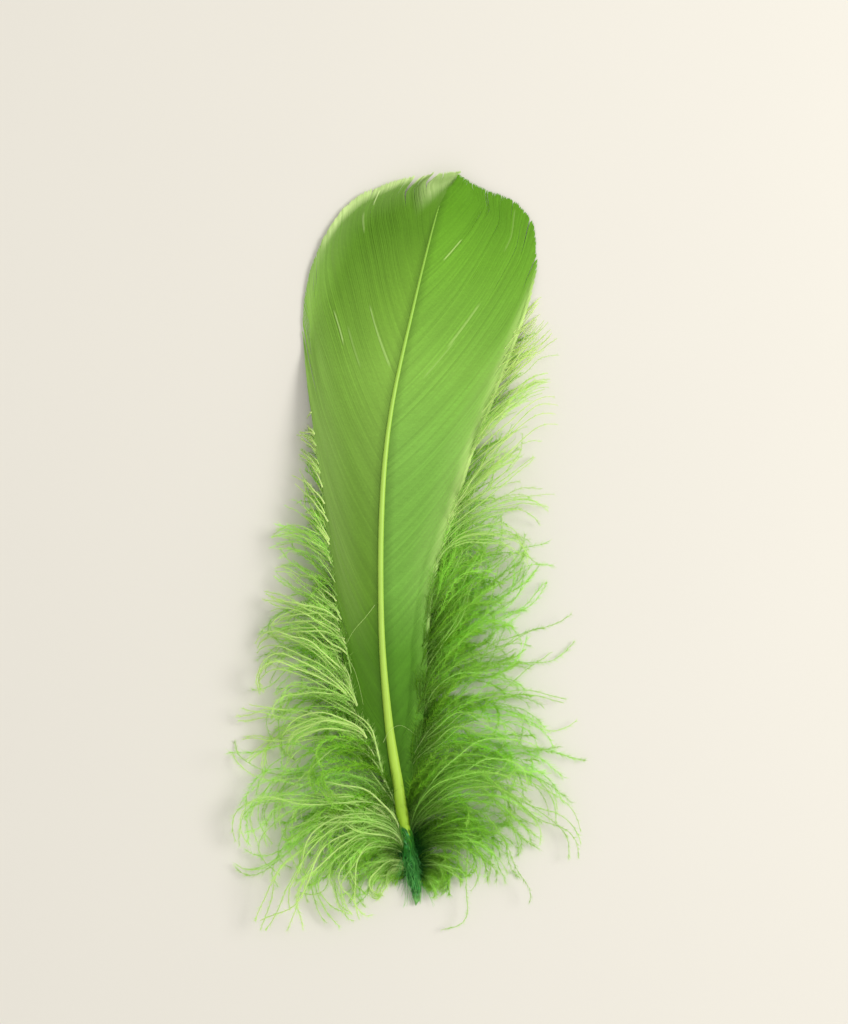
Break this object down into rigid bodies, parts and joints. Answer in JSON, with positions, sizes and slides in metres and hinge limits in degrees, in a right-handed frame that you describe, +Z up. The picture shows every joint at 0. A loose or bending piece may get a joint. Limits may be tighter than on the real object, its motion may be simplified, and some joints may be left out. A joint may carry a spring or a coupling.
{
  "type": "goose feather",
  "caption": "Curved dyed goose feather lying flat, with a tapering quill, two broad smooth webs and loose down along its lower half.",
  "frame": {"origin": "on the table under the middle of the whole feather", "axes": "+Z up from the table it lies on, +Y along the feather towards its tip, +X to the right as seen from above"},
  "size_m": [0.0678, 0.1632, 0.0088],
  "materials": {
    "quill": "smooth horn-like keratin, semi-gloss, yellow-green, dark green towards the quill's end",
    "web": "fine parallel barbs zipped into a smooth satin sheet, green, thin enough to let some light through",
    "down": "soft loose fluff, matt, lighter yellow-green at its tips"
  },
  "bodies": {
    "root": {"shaft": "quill", "vane_left": "web", "vane_right": "web", "down_left": "down", "down_right": "down"}
  },
  "joints": []
}
